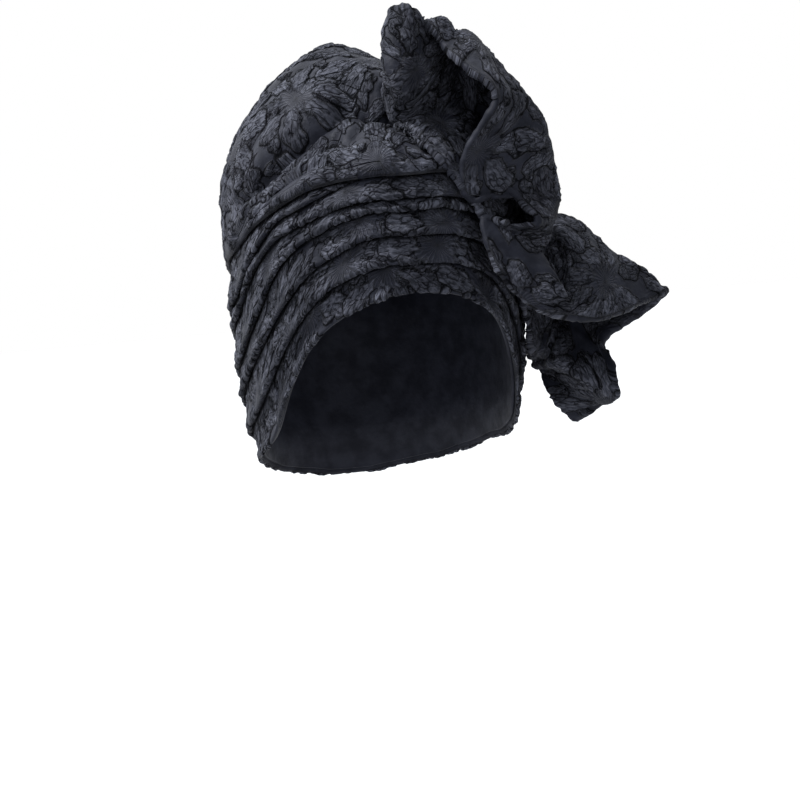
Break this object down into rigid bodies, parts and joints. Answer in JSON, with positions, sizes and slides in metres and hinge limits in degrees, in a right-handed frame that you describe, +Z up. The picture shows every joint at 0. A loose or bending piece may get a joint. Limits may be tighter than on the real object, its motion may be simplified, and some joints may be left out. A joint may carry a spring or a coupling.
{
  "type": "turban cap",
  "caption": "Ready-tied turban cap in stiff textured brocade: hollow gathered crown bag, shingled pleat folds round the brow and a tall asymmetric side ruffle.",
  "frame": {"origin": "middle of the head opening at hat line height, where the cap sits on a head", "axes": "+Z up the head, -Y the way the face looks, +X to the wearer's left"},
  "size_m": [0.2268, 0.2365, 0.2794],
  "materials": {
    "crown": "crinkled woven brocade, matte raised flowers on a darker satin ground",
    "pleat_1": "crinkled woven brocade, matte raised flowers on a darker satin ground",
    "pleat_2": "crinkled woven brocade, matte raised flowers on a darker satin ground",
    "pleat_3": "crinkled woven brocade, matte raised flowers on a darker satin ground",
    "pleat_4": "crinkled woven brocade, matte raised flowers on a darker satin ground",
    "pleat_5": "crinkled woven brocade, matte raised flowers on a darker satin ground",
    "pleat_6": "crinkled woven brocade, matte raised flowers on a darker satin ground",
    "ruffle": "crinkled woven brocade, matte raised flowers on a darker satin ground"
  },
  "bodies": {
    "root": {"crown": "crown", "pleat_1": "pleat_1", "pleat_2": "pleat_2", "pleat_3": "pleat_3", "pleat_4": "pleat_4", "pleat_5": "pleat_5", "pleat_6": "pleat_6", "ruffle": "ruffle"}
  },
  "joints": []
}
